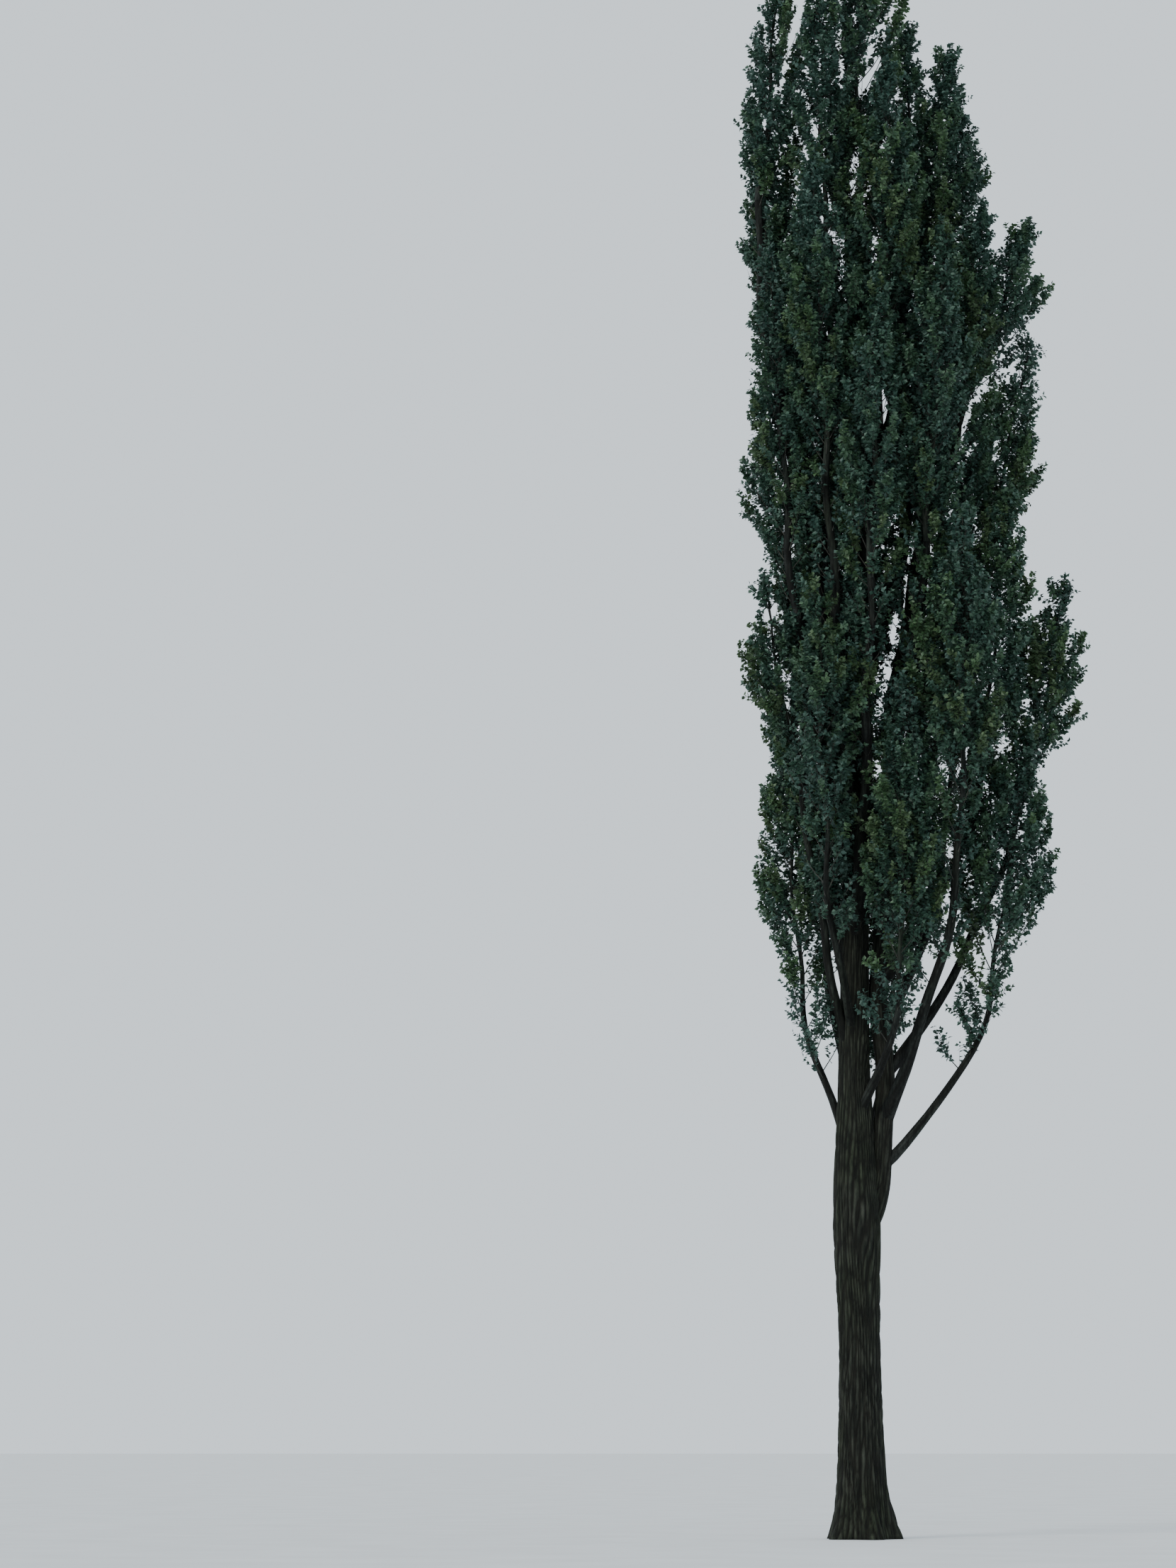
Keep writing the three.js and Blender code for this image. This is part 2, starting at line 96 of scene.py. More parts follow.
# The limbs that fork from the trunk: the heights of fork, foot and top, the place in plan at the foot
# and at the tip of the foliage, and the girth radius of the mass. A kick is how far the limb swings out
# just above its fork. The bough of right_high is the second stem.
TRUNK_LIMBS = {
    "leader": dict(fork=22.9, foot=22.9, top=28.8, at=(0.305, 0.064), tip=(0.27, 0), girth=0.62),
    "crown_left": dict(fork=17.6, foot=22.2, top=27.6, at=(-0.38, -0.26), tip=(-0.42, -0.42), girth=0.56),
    "crown_right": dict(fork=17, foot=22.5, top=26.6, at=(1.1, 0.18), tip=(1.21, 0.3), girth=0.62),
    "crown_front": dict(fork=15.7, foot=20.3, top=25.4, at=(0.56, -0.82), tip=(0.72, -0.98), girth=0.7),
    "crown_back": dict(fork=15.9, foot=20.7, top=25.9, at=(0.18, 0.88), tip=(0.15, 1), girth=0.68),
    "right_top": dict(fork=14.2, foot=21, top=26.2, at=(1.62, 0.56), tip=(1.96, 0.25), girth=0.77),
    "right_high": dict(
        fork=5, kick=0.7, foot=19.5, top=22.8, at=(2.07, 0.35), tip=(3.22, 0.05), girth=0.85
    ),
    "left_leader": dict(fork=15.1, foot=23.3, top=27.4, at=(-1.49, 0.12), tip=(-1.15, 0.06), girth=0.47),
    "left_high": dict(fork=12.9, foot=20, top=25, at=(-0.92, 0.64), tip=(-1.52, 0.54), girth=0.52),
    "left_upper": dict(fork=10.7, foot=17.5, top=22.1, at=(-1.12, -0.6), tip=(-1.33, -0.62), girth=0.57),
    "left_middle": dict(fork=9.3, foot=15.9, top=19.9, at=(-1.08, 0), tip=(-1.45, -0.12), girth=0.57),
    "left_low": dict(fork=7.7, foot=13, top=16.3, at=(-0.98, -0.43), tip=(-1.52, -0.4), girth=0.53),
    "left_lowest": dict(
        fork=6, kick=-0.32, foot=9.2, top=14.1, at=(-0.9, 0.45), tip=(-1.13, 0.56), girth=0.62
    ),
    "front_left_high": dict(fork=11.9, foot=17.9, top=23.8, at=(-0.43, -1.05), tip=(-0.6, -1.15), girth=0.72),
    "front_middle": dict(fork=9.9, foot=16, top=21.2, at=(0.25, -1.48), tip=(0.42, -1.65), girth=0.7),
    "front_left_low": dict(fork=8.3, foot=11.5, top=15.9, at=(-0.56, -1.22), tip=(-0.64, -1.38), girth=0.62),
    "front_low": dict(fork=6.9, foot=9.3, top=14.3, at=(0.7, -1.05), tip=(0.8, -1.45), girth=0.7),
    "back_left_high": dict(fork=11.4, foot=16.9, top=22.3, at=(-0.48, 1.15), tip=(-0.6, 1.25), girth=0.72),
    "back_middle": dict(fork=9.1, foot=14.1, top=19.8, at=(0.05, 1.5), tip=(0.15, 1.7), girth=0.64),
    "back_left_low": dict(fork=7.2, foot=11.5, top=17, at=(-0.56, 1.25), tip=(-0.86, 1.35), girth=0.68),
    "back_low": dict(fork=6.15, foot=8.9, top=14.2, at=(0.7, 1.15), tip=(0.75, 1.5), girth=0.74),
}

# The limbs that fork from the second stem
SECOND_STEM_LIMBS = {
    "right_low": dict(fork=6.1, foot=9.2, top=13.8, at=(2.3, -0.38), tip=(2.98, -0.45), girth=0.74),
    "front_right_middle": dict(fork=6.9, foot=11.8, top=17.3, at=(1.7, -1.42), tip=(1.85, -1.56), girth=0.76),
    "right_wide": dict(fork=7.7, foot=12.6, top=16.35, at=(2.95, 0.4), tip=(3.78, 0.25), girth=0.66),
    "back_right_middle": dict(fork=8.4, foot=12.2, top=17.8, at=(1.75, 1.3), tip=(2.05, 1.45), girth=0.76),
    "right_middle": dict(fork=9.2, foot=12.7, top=17.9, at=(2.13, -0.56), tip=(2.68, -0.6), girth=0.7),
    "front_right_high": dict(fork=10.1, foot=16.7, top=22.3, at=(1.2, -1.2), tip=(1.6, -1.35), girth=0.74),
    "right_shoulder": dict(fork=11, foot=16.3, top=20.75, at=(2.21, 0.4), tip=(3.23, 0.25), girth=0.63),
    "back_right_high": dict(fork=11.9, foot=18, top=23.7, at=(1.35, 1.15), tip=(1.55, 1.3), girth=0.74),
    "right_inner": dict(fork=13.6, foot=16, top=23, at=(1.43, -0.32), tip=(2.43, -0.42), girth=0.71),
}

# Shoots of a mass. A pair of numbers is a range to draw from. The topmost shoot is placed by the depths
# of its root, middle and end below the top of the limb.
SHOOT_SPACING = 0.125
SHOOT_GIRTH = 0.62
FIRST_SHOOT = 0.02
LAST_SHOOT = 0.93
SHOOT_TURN_PLAY = 0.5
SHOOT_RISE = (0.8, 1.2)
SHOOT_REACH = (0.62, 1.0)
REACH_READ_AT = 0.8
SHOOT_LEAST_REACH = 0.12
SHOOT_LEAST_CLIMB = 0.3
SHOOT_ARCH = 0.1
SHOOT_RADIUS = 0.012
SHOOT_STATIONS = (0.0, 0.33, 0.66, 1.0)
SHOOT_TAPER = (1.0, 0.75, 0.5)
INWARD_GAIN = 0.7
DRAW_IN_STEPS = 9
DRAW_IN_STEP = 0.08
TIP_GAP = 0.1
TIP_SHOOT = np.array((0.75, 0.45, TIP_GAP))

# Leafy shoots on the boughs below the masses, and on the trunk inside the crown
INNER_SPACING = 0.15
STEM_SHOOT_SPACING = 0.12
INNER_LOWEST = 7.6
TRUNK_SHOOTS_LOWEST = 9.6
INNER_SHARE = 0.45
INNER_TURN_PLAY = 0.8
INNER_REACH = 0.55
INNER_REACH_PLAY = (0.55, 1.0)
INNER_RISE = (0.7, 1.0)
INNER_DRAW_IN = 0.5
INNER_ROOM = 1.3
CROWN_MIDDLE = np.array([(0.5, 0.0, 0.0)])
CROWN_BASE = 10.5
BOX_OVERSHOOT = 0.1

# Sprays: straight twigs on the shoots
SPRAY_SPACING = 0.088
LEAST_SPRAYS = 4
MOST_SPRAYS = 18
FIRST_SPRAY = 0.12
SPRAY_CROWDING = 0.85
SPRAY_ANGLE = (0.45, 0.95)
END_SPRAY_FROM = 0.97
END_SPRAY_ANGLE = 0.2
SPRAY_LIFT = (0.0, 0.0, 0.35)
SPRAY_LENGTH = 0.46
SPRAY_LENGTH_PLAY = (0.65, 1.1)
SPRAY_LENGTH_AT_ROOT = 1.1
SPRAY_SHORTENING = 0.45
SPRAY_RADIUS = 0.0045

# Leaves. The droop and the upward turn keep the blades hanging with their upper sides to the sky.
LEAVES_ON_A_SPRAY = 25
LEAF_LENGTH = 0.1
LEAF_WIDTH = 0.074
LEAF_FOLD = 0.16
LEAF_PLACE_PLAY = (0.2, 1.0)
LEAF_TURN_PLAY = 0.8
LEAF_ANGLE = (0.7, 1.3)
LEAF_SCATTER = 0.35
LEAF_DROOP = (0.0, 0.0, -0.3)
FACING_OUT = 0.5
FACING_SCATTER = 0.55
FACING_UP = (0.0, 0.0, 0.75)
LEAF_SIZE = (0.75, 1.2)
END_LEAF_SHRINK = 0.25
LIMB_CLEARANCE = 0.03

# Of the deep green leaves, which lie inside the crown, this share stays below the height where the crown
# thins out
DEEP_SHARE = 0.5
DEEP_TOP = 22.0

# The outline of a leaf: across, along and lift of each corner. The blade is folded at its rib.
BROAD_LEAF = (
    (0.0, 0.0, 0.0),
    (0.5, 0.42, 1.0),
    (0.32, 0.7, 0.8),
    (0.0, 1.0, 0.0),
    (-0.32, 0.7, 0.8),
    (-0.5, 0.42, 1.0),
)
PLAIN_LEAF = (
    (0.0, 0.0, 0.0),
    (0.5, 0.42, 1.0),
    (0.0, 1.0, 0.0),
    (-0.5, 0.42, 1.0),
)

# The colours of the leaves, each a range, with the outline that goes with it. From the stem of a mass to
# its skin one colour follows another at the steps, and olive is dealt out in patches instead. This is
# painted light and shade: the darker, bluer greens inside are painted shade, the paler greens at the skin
# and higher up are painted light, and the olive patches are painted sunlit patches.
LEAF_COLORS = (
    ("deep_green", (0.031, 0.073, 0.058), (0.041, 0.093, 0.069), PLAIN_LEAF),
    ("shade_green", (0.032, 0.076, 0.053), (0.044, 0.098, 0.064), PLAIN_LEAF),
    ("mid_green", (0.036, 0.081, 0.046), (0.052, 0.11, 0.056), PLAIN_LEAF),
    ("painted_light_green", (0.044, 0.093, 0.042), (0.064, 0.128, 0.052), BROAD_LEAF),
    ("painted_sunlit_olive", (0.05, 0.092, 0.041), (0.072, 0.12, 0.05), BROAD_LEAF),
)
DEEP, MID, OLIVE = 0, 2, 4
# Painted light and shade: how far out, how high and in which patch a spray lies sets its colour step
COLOR_STEPS = (0.42, 0.7, 1.0)
INNER_OUTWARD = 0.5
UPWARD_WEIGHT = 0.3
PATCH_WEIGHT = 0.2
PATCH_WAVES = (1.7, 1.1)
COLOR_PLAY = 0.15
OLIVE_PLAY = 0.35
OLIVE_FROM = 0.9
MOTTLE_TINT = (0.8, 0.84, 0.8)
MOST_FACES = 190000

# Bark relief. The ridges come in two sets that cross, each with a number of further ridges, how far it
# wanders and the pace of that.
TRUNK_SIDES = 160
TRUNK_RING = 0.055
TRUNK_RING_HIGH = 0.24
FINE_BARK_TOP = 8.5
TRUNK_RIDGES = 30
TRUNK_BURRS = 0.014
TRUNK_BURR_PACE = 1.2
TRUNK_BARK_SEED = 11
FLUTING = 0.02
FLUTING_HEIGHT = 4.0
FLUTING_TWIST = 0.25
CRACK_DEPTH = 0.012
FOOT_CRACK_DEPTH = 0.03
CRACK_HEIGHT = 6.0
SECOND_STEM_BARK = dict(ring=0.1, sides=48, ridges=16)
BOUGH_BARK = dict(ring=0.2, sides=16, ridges=7)
BOUGH_LEAST_RINGS = 12
BOUGH_BURRS = 0.06
BOUGH_BURR_PACE = 2.0
BOUGH_BARK_SEED = 5000
BOUGH_CRACK_DEPTH = 0.12
SKIN_LEVEL = 0.3
RIDGE_SETS = ((0, 2.4, 1.8), (6, 3.0, 2.6))
RIDGE_SHARPNESS = 0.8
BREAK_PACE = 5.0
BREAK_WANDER = 3.0
BREAK_WANDER_PACE = 3.0
BREAK_DEPTH = 0.3
WANDER_TERMS = 6
WANDER_LOBES = (1, 6)
WANDER_WAVES = (0.3, 1.4)

# Bark colours: in the cracks of the grain, between them and on its plates. The tints are laid over them.
# Both sets are darker and greener than the bark itself as painted shade: the trunk's for the shade that it
# stands in, and the smoother set of the boughs and of the stems in the foliage darker still for the shade
# inside the crown.
FURROWED_SHADED_COLORS = ((0.01, 0.0125, 0.009), (0.025, 0.0285, 0.021), (0.05, 0.055, 0.042))
FURROWED_GRAIN = 14.0
SMOOTHER_SHADED_COLORS = ((0.008, 0.01, 0.0085), (0.02, 0.024, 0.021), (0.04, 0.045, 0.039))
SMOOTHER_GRAIN = 22.0
PLATE_STOPS = (0.38, 0.5, 0.66)
ALGAE_TINT = (0.78, 0.92, 0.66)
# Painted shade in the cracks, together with the bark's own darker colour there
CRACK_TINT_AND_SHADE = (0.22, 0.2, 0.18)
TWIG_COLORS = ((0.019, 0.02, 0.015), (0.05, 0.05, 0.038))
UPRIGHT_GRAIN = (1.0, 1.0, 0.2)
EVEN_GRAIN = (1.0, 1.0, 1.0)
WHITE = (1.0, 1.0, 1.0)

# The camera stands at eye height, well away from the tree, and looks a little up
CAMERA = np.array((-4.55, -60.0, 1.6))
CAMERA_PITCH = 100.5
CAMERA_LENS = 81.37
SENSOR_WIDTH = 36
FARTHEST = 2000

# Surroundings
SKY_COLOR = (0.74, 0.82, 0.88, 1)
SKY_STRENGTH = 1.3
SUN_COLOR = (1.0, 0.96, 0.9)
SUN_STRENGTH = 1.4
SUN_ANGLE = 20
SUN_TURN = (48, -12, -32)
FLOOR_COLORS = ((0.62, 0.64, 0.65), (0.68, 0.7, 0.71))
FLOOR_REACH = 400.0

# Where the sky shows through the crown from the camera. Each opening runs between two points (across,
# height) on the upright plane through the trunk, and has a width and the share of leaves that it keeps.
OPENINGS = [
    ((0.27, 25.25), (0.68, 25.95), 0.24, 0.0),
    ((-0.02, 25.3), (-0.02, 26.5), 0.1, 0.1),
    ((-1.12, 25.0), (-1.02, 26.0), 0.1, 0.05),
    ((-0.98, 26.0), (-0.7, 27.1), 0.18, 0.0),
    ((-1.36, 26.1), (-1.2, 26.45), 0.26, 0.25),
    ((-0.62, 25.0), (-0.35, 24.0), 0.24, 0.25),
    ((0.82, 24.6), (1.0, 25.4), 0.24, 0.2),
    ((0.66, 24.0), (0.74, 24.5), 0.14, 0.2),
    ((0.12, 23.3), (0.24, 24.3), 0.2, 0.05),
    ((0.38, 23.0), (0.42, 23.7), 0.16, 0.1),
    ((-0.4, 23.6), (-0.2, 23.0), 0.24, 0.1),
    ((-0.42, 22.95), (-0.08, 22.35), 0.2, 0.05),
    ((-0.03, 22.6), (-0.1, 21.6), 0.16, 0.05),
    ((0.0, 21.6), (0.06, 21.0), 0.08, 0.25),
    ((0.5, 22.0), (0.56, 22.9), 0.17, 0.1),
    ((1.5, 22.0), (1.64, 22.25), 0.14, 0.2),
    ((2.8, 21.2), (2.9, 21.8), 0.12, 0.3),
    ((0.65, 19.0), (0.63, 19.75), 0.17, 0.0),
    ((0.5, 18.45), (0.57, 18.95), 0.15, 0.1),
    ((1.93, 18.85), (2.13, 19.45), 0.23, 0.05),
    ((2.13, 19.45), (2.5, 20.02), 0.19, 0.04),
    ((1.82, 18.5), (2.05, 19.1), 0.2, 0.25),
    ((2.5, 18.4), (2.56, 18.85), 0.08, 0.5),
    ((-1.14, 18.0), (-1.04, 18.8), 0.14, 0.15),
    ((-0.66, 16.6), (-0.74, 17.5), 0.1, 0.2),
    ((1.08, 17.3), (1.06, 17.8), 0.13, 0.05),
    ((1.0, 16.5), (1.04, 17.0), 0.12, 0.2),
    ((0.23, 16.6), (0.24, 16.95), 0.19, 0.0),
    ((-0.5, 16.0), (-0.48, 16.45), 0.13, 0.0),
    ((-0.49, 15.5), (-0.46, 15.85), 0.14, 0.0),
    ((0.98, 15.4), (1.0, 16.4), 0.13, 0.0),
    ((1.3, 15.6), (1.4, 16.5), 0.14, 0.2),
    ((1.12, 16.5), (1.14, 17.3), 0.1, 0.2),
    ((0.72, 15.2), (0.8, 15.75), 0.16, 0.0),
    ((0.58, 14.4), (0.74, 15.1), 0.2, 0.15),
    ((0.4, 13.6), (0.56, 14.4), 0.18, 0.25),
    ((0.24, 12.4), (0.5, 13.2), 0.16, 0.15),
    ((-1.48, 15.6), (-1.28, 15.85), 0.24, 0.0),
    ((-1.42, 15.2), (-1.25, 15.6), 0.2, 0.35),
    ((-1.12, 14.05), (-1.08, 15.0), 0.18, 0.2),
    ((-0.9, 13.2), (-0.84, 13.9), 0.16, 0.25),
    ((2.1, 14.65), (2.42, 14.25), 0.26, 0.12),
    ((1.8, 12.85), (2.0, 13.4), 0.15, 0.0),
    ((2.47, 16.0), (2.49, 16.5), 0.1, 0.4),
]
OPENING_RIM = (0.7, 1.3)
OPENING_END_WIDTH = 0.45
OPENING_RAGGEDNESS = 0.35
RAGGED_WAVES = ((7, 19), (-23, 11))
SCATTER_ACROSS = 437.5
SCATTER_UP = 271.3


class Limb:
    """A limb from its fork to the tip of its foliage."""

    def __init__(self, name, index, on_second, sizes):
        self.name = name
        self.on_second = on_second
        self.fork = sizes["fork"]
        self.foot = sizes["foot"]
        self.top = sizes["top"]
        self.start = np.array(sizes["at"])
        self.tip = np.array(sizes["tip"])
        self.girth = sizes["girth"]
        self.kick = sizes.get("kick", 0.0)
        self.seed = FIRST_SEED + SEED_STEP * index
        self.phase = index * GOLDEN_ANGLE
        self.is_leader = self.fork == self.foot

    def root(self):
        stem = SECOND_STEM.at if self.on_second else trunk_at
        return stem(np.array([self.fork]))[0, :2]

    def at(self, z):
        """The middle line at the heights z."""
        z = np.asarray(z, dtype=float)
        foliage = self.top - self.foot
        slope = (self.tip - self.start) / foliage
        share = ((z - self.foot) / foliage)[:, None]
        place = hermite(self.start, self.tip, slope, slope * TIP_SLOPE, share, foliage)
        kick = np.zeros_like(z)
        if not self.is_leader:
            bough = self.foot - self.fork
            first = self.root()
            lean = 0.0 if self.kick else BOUGH_START_SLOPE * (self.start - first) / bough
            low = hermite(first, self.start, lean, slope, ((z - self.fork) / bough)[:, None], bough)
            place = np.where((z < self.foot)[:, None], low, place)
            still = np.maximum(0.0, (self.foot - z) / bough)
            kick = self.kick * (1 - np.exp((self.fork - z) / KICK_HEIGHT)) * still**2
        grown = np.minimum(1.0, (z - self.fork) / WAVE_HEIGHT)
        wave = WAVE * grown * np.sin(2 * math.pi * z / WAVE_HEIGHT + self.phase)
        x = place[:, 0] + wave + kick
        y = place[:, 1] + wave * math.sin(self.phase)
        return np.stack([x, y, z], axis=1)

    def bough_radius(self, z):
        along = (z - self.fork) / (self.foot - self.fork)
        thick = max(BOUGH_LEAST_RADIUS, BOUGH_RADIUS * (self.top - self.fork))
        collar = 1 + COLLAR * np.exp(-(z - self.fork) / COLLAR_LENGTH)
        return thick * (1 - (1 - BOUGH_TAPER) * along) * collar

    def stem_radius(self, z):
        along = (z - self.foot) / (self.top - self.foot)
        if self.is_leader:
            thick = TRUNK_TIP_RADIUS * LEADER_THICKNESS
        else:
            thick = self.bough_radius(self.foot)
        return STEM_TIP_RADIUS + (thick - STEM_TIP_RADIUS) * (1 - along)

    def reach(self, z):
        """The radius that the mass of foliage reaches: a flame, widest low down."""
        along = np.clip((z - self.foot) / (self.top - self.foot), 0, 1)
        return self.girth * np.sin(math.pi * along**FLAME_LOWNESS) ** FLAME_FULLNESS


def hermite(a, b, slope_a, slope_b, u, span):
    """A smooth rise from a to b with the given slopes at its ends, u from 0 to 1 over the span."""
    ends = a * (2 * u**3 - 3 * u**2 + 1) + b * (3 * u**2 - 2 * u**3)
    return ends + span * (slope_a * (u**3 - 2 * u**2 + u) + slope_b * (u**3 - u**2))


def trunk_at(z):
    """The middle line of the trunk: it leans a little and sways once."""
    z = np.asarray(z, dtype=float)
    turn = 2 * math.pi * z / SWAY_HEIGHT
    x = TRUNK_LEAN * z - TRUNK_SWAY * np.sin(turn)
    return np.stack([x, 0.5 * TRUNK_SWAY * (1 - np.cos(turn)), z], axis=1)


def trunk_radius(z):
    rest = np.maximum(0.0, 1 - z / TRUNK_TOP)
    taper = TRUNK_TIP_RADIUS + (TRUNK_RADIUS - TRUNK_TIP_RADIUS) * rest**TRUNK_TAPER
    flare = ROOT_FLARE * np.exp(-z / FLARE_HEIGHT)
    swell = FORK_SWELL * np.exp(-(((z - FORK_HEIGHT) / FORK_SPREAD) ** 2))
    return taper + flare + swell


LIMBS = []
for limb_group, from_second in ((TRUNK_LIMBS, False), (SECOND_STEM_LIMBS, True)):
    for limb_name, limb_sizes in limb_group.items():
        LIMBS.append(Limb(limb_name, len(LIMBS), from_second, limb_sizes))
SECOND_STEM = next(limb for limb in LIMBS if limb.name == "right_high")


def level_distance(a, b):
    return np.hypot(a[:, 0] - b[:, 0], a[:, 1] - b[:, 1])


def clear_of_wood(points, clearance):
    """Whether each point lies outside the trunk and every bough."""
    z = points[:, 2]
    clear = level_distance(points, trunk_at(z)) > trunk_radius(z) + clearance
    clear |= z > TRUNK_TOP
    for limb in LIMBS:
        if limb.is_leader:
            continue
        inside = (z > limb.fork) & (z < limb.foot)
        level = np.clip(z, limb.fork, limb.foot)
        apart = level_distance(points, limb.at(level))
        clear &= ~inside | (apart > limb.bough_radius(level) + clearance)
    return clear


def in_own_space(points, own):
    """Whether each point is nearer to its own stem than to any other, each against its own reach."""
    least = 0.05
    z = points[:, 2]
    pull = level_distance(points, own.at(np.minimum(z, own.top))) / np.maximum(least, own.reach(z))
    free = np.ones(len(points), dtype=bool)
    for limb in LIMBS:
        if limb is own:
            continue
        beside = (z > limb.foot) & (z < limb.top)
        level = np.clip(z, limb.foot, limb.top)
        apart = level_distance(points, limb.at(level)) / np.maximum(least, limb.reach(level))
        free &= ~beside | (pull < apart)
    return free


def in_crown(points):
    """Whether each point lies within the reach of a mass, on its inner side, or at the crown's open base."""
    z = points[:, 2]
    from_middle = level_distance(points, CROWN_MIDDLE)
    inside = z < CROWN_BASE
    for limb in LIMBS:
        beside = (z > limb.foot) & (z < limb.top)
        level = np.clip(z, limb.foot, limb.top)
        stem = limb.at(level)
        apart = level_distance(points, stem)
        within = from_middle < level_distance(stem, CROWN_MIDDLE)
        inside |= beside & ((apart < limb.reach(level)) | (within & (apart < INNER_ROOM)))
    return inside


def in_box(points):
    """Whether each point lies in the box round the solids, or only just outside it."""
    low = np.array(cad_low) - BOX_OVERSHOOT
    high = np.array(cad_high) + BOX_OVERSHOOT
    return np.all((points > low) & (points < high), axis=1)


def left_open(points):
    """Whether each point would cover a place where the sky shows through, seen from the camera. Sprays
    and then their leaves are tested, so each time the square root of the share stays."""
    share = -CAMERA[1] / (points[:, 1] - CAMERA[1])
    across = CAMERA[0] + (points[:, 0] - CAMERA[0]) * share
    height = CAMERA[2] + (points[:, 2] - CAMERA[2]) * share
    scattered = (SCATTER_ACROSS * across + SCATTER_UP * height) % 1.0
    ragged = OPENING_RAGGEDNESS
    for wave_across, wave_up in RAGGED_WAVES:
        ragged = ragged * np.sin(wave_up * height + wave_across * across)
    covering = np.zeros(len(points), dtype=bool)
    for (x0, z0), (x1, z1), width, kept in OPENINGS:
        run_x, run_z = x1 - x0, z1 - z0
        along = ((across - x0) * run_x + (height - z0) * run_z) / (run_x**2 + run_z**2)
        along = np.clip(along, 0, 1)
        apart = np.hypot(across - x0 - along * run_x, height - z0 - along * run_z)
        pointed = OPENING_END_WIDTH + (1 - OPENING_END_WIDTH) * np.sin(math.pi * along)
        rim = 0.5 * width * pointed * (1 + ragged)
        stays = kept + (1 - kept) * np.interp(apart / rim, OPENING_RIM, (0, 1))
        covering |= scattered > np.sqrt(stays)
    return covering


def unit(vectors):
    return vectors / np.maximum(1e-9, np.linalg.norm(vectors, axis=1))[:, None]


def square_frames(along):
    """Two directions square to each direction and to each other."""
    steep = 0.9
    side = np.where(np.abs(along[:, 2:3]) > steep, (1.0, 0.0, 0.0), (0.0, 0.0, 1.0))
    across = unit(np.cross(along, side))
    return across, np.cross(across, along)


def lean_out(along, angle, turn):
    """Directions that leave the given ones at an angle, turned about them."""
    across, other = square_frames(along)
    ring = across * np.cos(turn)[:, None] + other * np.sin(turn)[:, None]
    return along * np.cos(angle)[:, None] + ring * np.sin(angle)[:, None]


def level_headings(turn):
    return np.stack([np.cos(turn), np.sin(turn), np.zeros(len(turn))], axis=1)


def arched(roots, ends, heading, out):
    """The middles of shoots that bow outwards a little between their roots and ends."""
    return 0.5 * (roots + ends) + heading * (SHOOT_ARCH * out)[:, None]


def shoots_of(limb, random):
    """The curved shoots of a mass: roots, middles and ends. They reach farther towards the middle of the
    crown, and each is drawn in step by step while its end is in the space of another mass."""
    length = limb.top - limb.foot
    count = round(length * max(1.0, limb.girth / SHOOT_GIRTH) / SHOOT_SPACING)
    k = np.arange(count)
    start = limb.foot + length * (FIRST_SHOOT + (LAST_SHOOT - FIRST_SHOOT) * k / count)
    turn = k * GOLDEN_ANGLE + limb.phase + random.uniform(0, SHOOT_TURN_PLAY, count)
    heading = level_headings(turn)
    rise = TWIG_RISE * random.uniform(*SHOOT_RISE, count)
    out = limb.reach(start + REACH_READ_AT * rise * limb.girth) * random.uniform(*SHOOT_REACH, count)
    out = np.maximum(out, SHOOT_LEAST_REACH)
    roots = limb.at(start)
    inward = unit(CROWN_MIDDLE - roots * (1.0, 1.0, 0.0))
    out *= 1 + INWARD_GAIN * np.clip(np.sum(heading * inward, axis=1), 0, 1)
    climb = np.maximum(rise * out, SHOOT_LEAST_CLIMB)
    ends = limb.at(np.minimum(limb.top - TIP_GAP, start + climb)) + heading * out[:, None]
    share = np.ones(count)
    for _ in range(DRAW_IN_STEPS):
        outside = ~in_own_space(roots + (ends - roots) * share[:, None], limb)
        share = np.where(outside, share - DRAW_IN_STEP, share)
    ends = roots + (ends - roots) * share[:, None]
    middles = arched(roots, ends, heading, out * share)
    tip = limb.at(limb.top - TIP_SHOOT)
    return [np.vstack(pair) for pair in zip((roots, middles, ends), (tip[0:1], tip[1:2], tip[2:3]))]


def inner_shoots(line, low, high, limb, random):
    """Short shoots along a limb inside the crown, by the same rule. They crowd on the two stems."""
    is_stem = limb.is_leader or limb is SECOND_STEM
    start = np.arange(low, high, STEM_SHOOT_SPACING if is_stem else INNER_SPACING)
    count = len(start)
    turn = np.arange(count) * GOLDEN_ANGLE + limb.phase + random.uniform(0, INNER_TURN_PLAY, count)
    heading = level_headings(turn)
    roots = line(start)
    outward = unit(roots * (1.0, 1.0, 0.0))
    lean = np.clip(np.sum(heading * outward, axis=1), 0, 1)
    out = INNER_REACH * random.uniform(*INNER_REACH_PLAY, count) * (1 - INNER_DRAW_IN * lean)
    ends = roots + heading * out[:, None]
    ends[:, 2] += TWIG_RISE * out * random.uniform(*INNER_RISE, count)
    return roots, arched(roots, ends, heading, out), ends


def inner_shoots_of(limb, random):
    """The shoots on a limb's bough, and on the trunk for the leader, from inside the crown upwards."""
    if limb.is_leader:
        return inner_shoots(trunk_at, TRUNK_SHOOTS_LOWEST, TRUNK_TOP, limb, random)
    low = max(INNER_LOWEST, limb.fork + INNER_SHARE * (limb.foot - limb.fork))
    return inner_shoots(limb.at, low, max(low, limb.foot), limb, random)


def on_curve(curve, t):
    """Points on quadratic curves given by roots, middles and ends, and the directions there."""
    roots, middles, ends = curve
    control = 2 * middles - 0.5 * (roots + ends)
    t = t[:, None]
    points = roots * (1 - t) ** 2 + control * 2 * t * (1 - t) + ends * t**2
    along = (control - roots) * (1 - t) + (ends - control) * t
    return points, unit(along)


